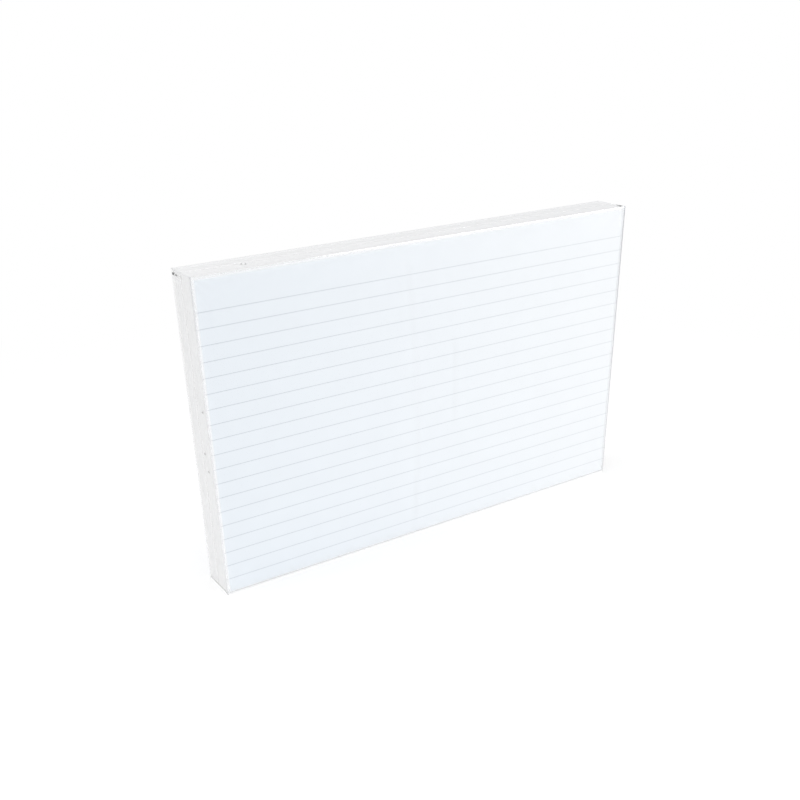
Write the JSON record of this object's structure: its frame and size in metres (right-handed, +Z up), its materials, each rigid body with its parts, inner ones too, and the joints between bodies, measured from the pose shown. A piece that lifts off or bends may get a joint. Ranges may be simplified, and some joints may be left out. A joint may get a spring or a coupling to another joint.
{
  "type": "pack of index cards",
  "caption": "Pack of white ruled index cards held together by clear shrink film, standing on its long edge, for notes and card files.",
  "frame": {"origin": "centre of the pack's base, where it stands on its long edge", "axes": "+X runs to the right along the ruled lines, -Y is the way the ruled front card faces, and +Z is up"},
  "size_m": [0.204, 0.0172, 0.1278],
  "materials": {
    "card_front": "smooth white card under film, slightly blue",
    "card_stock": "smooth white card with cut edges",
    "ruling_ink": "pale grey-blue printed line",
    "shrink_film": "clear glossy shrink film"
  },
  "bodies": {
    "root": {"front_card": "card_front", "inner_cards": "card_stock", "back_card": "card_stock", "front_ruling": "ruling_ink", "film_wrap": "shrink_film"}
  },
  "joints": []
}
